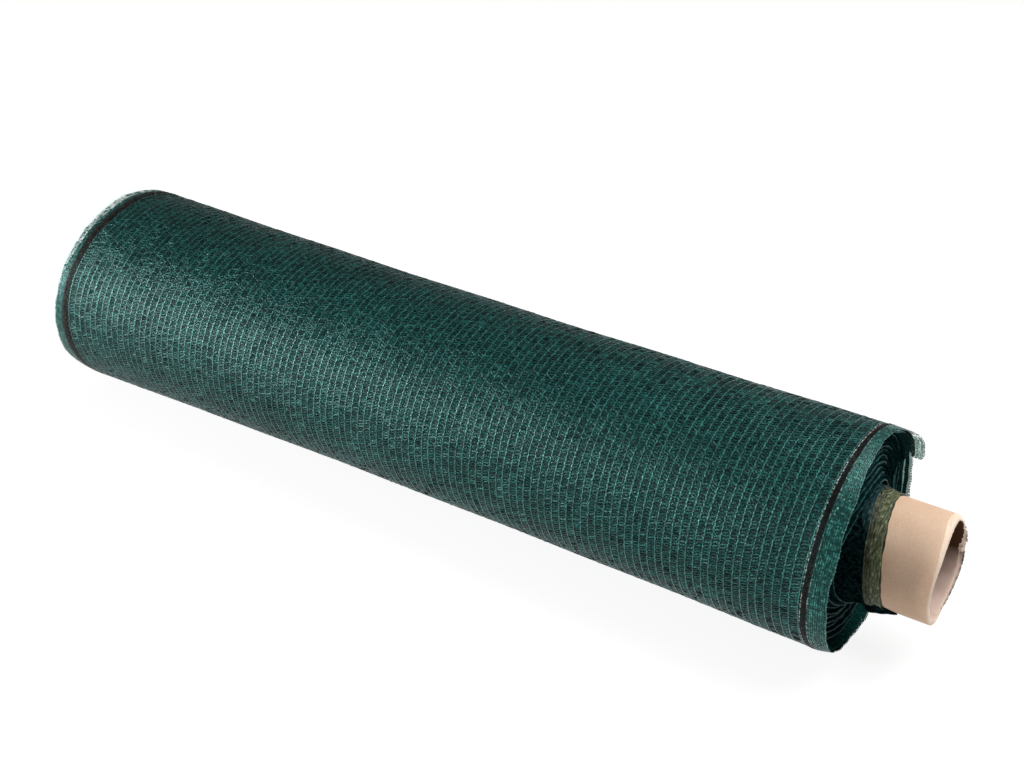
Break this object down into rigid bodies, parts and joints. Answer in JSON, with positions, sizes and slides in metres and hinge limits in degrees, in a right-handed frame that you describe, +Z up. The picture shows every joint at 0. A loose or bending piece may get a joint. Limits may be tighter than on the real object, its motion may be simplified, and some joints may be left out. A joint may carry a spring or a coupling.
{
  "type": "roll of shade netting",
  "caption": "Roll of knitted shade netting wound on a cardboard core, lying on its side, with one end of the core sticking out.",
  "frame": {"origin": "on the surface the roll lies on, under the middle of its length and width", "axes": "+X along the roll towards the open end where the core sticks out, +Y towards the back, where the cloth's loose end is, +Z up"},
  "size_m": [1.0978, 0.2459, 0.2321],
  "materials": {
    "netting": "knitted plastic tape, satin glints",
    "cardboard": "matt brown wound board"
  },
  "bodies": {
    "root": {"net_roll": "netting", "loose_end": "netting", "core_tube": "cardboard"}
  },
  "joints": []
}
